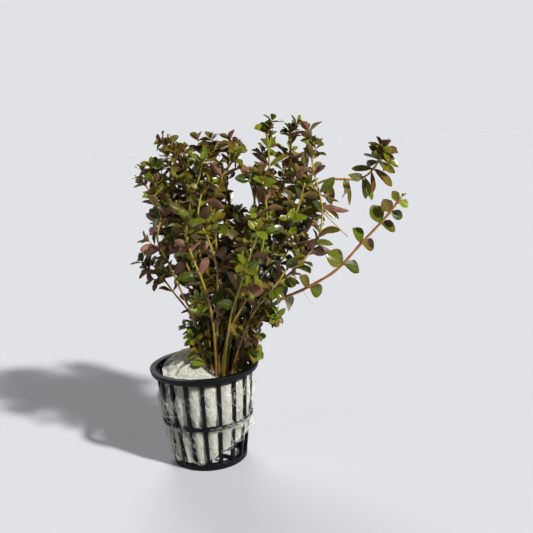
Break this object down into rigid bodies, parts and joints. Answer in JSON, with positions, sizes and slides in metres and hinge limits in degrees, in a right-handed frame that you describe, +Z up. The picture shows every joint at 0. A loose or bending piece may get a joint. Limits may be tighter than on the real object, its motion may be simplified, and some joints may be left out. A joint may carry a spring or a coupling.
{
  "type": "potted rotala rotundifolia",
  "caption": "Bunch of leafy aquarium stems, green to pink, standing in mineral wool in a round black net pot, with sprays reaching far to the right.",
  "frame": {"origin": "centre of the pot's underside, on the surface it stands on", "axes": "+Z up along the pot's axis, -Y the side the picture shows, +X the side the long sprays reach to"},
  "size_m": [0.1226, 0.0798, 0.1594],
  "materials": {
    "pot_plastic": "satin",
    "wool": "matte",
    "shoot_green": "satin",
    "shoot_bright": "satin",
    "shoot_olive": "satin",
    "shoot_maroon": "satin"
  },
  "bodies": {
    "root": {"net_pot": "pot_plastic", "mineral_wool": "wool", "shoot_front_left": "shoot_green", "shoot_front_centre": "shoot_bright", "shoot_right_low": "shoot_olive", "shoot_small_right": "shoot_olive", "shoot_small_left": "shoot_bright", "shoot_left_front": "shoot_green", "shoot_golden_front": "shoot_green", "shoot_lime_front": "shoot_bright", "shoot_left_arch": "shoot_green", "shoot_left_centre": "shoot_green", "shoot_gap_left": "shoot_olive", "shoot_top_centre": "shoot_bright", "shoot_right_column": "shoot_olive", "shoot_right_inner": "shoot_green", "shoot_right_outer": "shoot_olive", "shoot_left_mid": "shoot_green", "shoot_left_low": "shoot_olive", "shoot_top_left": "shoot_olive", "shoot_gap_floor": "shoot_green", "shoot_crossing": "shoot_maroon", "shoot_long_spray": "shoot_olive", "shoot_far_left": "shoot_maroon", "shoot_left_upper": "shoot_green", "shoot_red_stem": "shoot_olive", "shoot_top_right": "shoot_olive", "shoot_high_spray": "shoot_maroon", "shoot_left_back": "shoot_green", "shoot_top_left_inner": "shoot_maroon", "shoot_pale_leaf": "shoot_bright", "shoot_right_mid": "shoot_olive", "shoot_broad_top": "shoot_green", "shoot_gap_back": "shoot_green", "shoot_back_right": "shoot_olive", "shoot_back_left": "shoot_green", "shoot_back_centre": "shoot_maroon"}
  },
  "joints": []
}
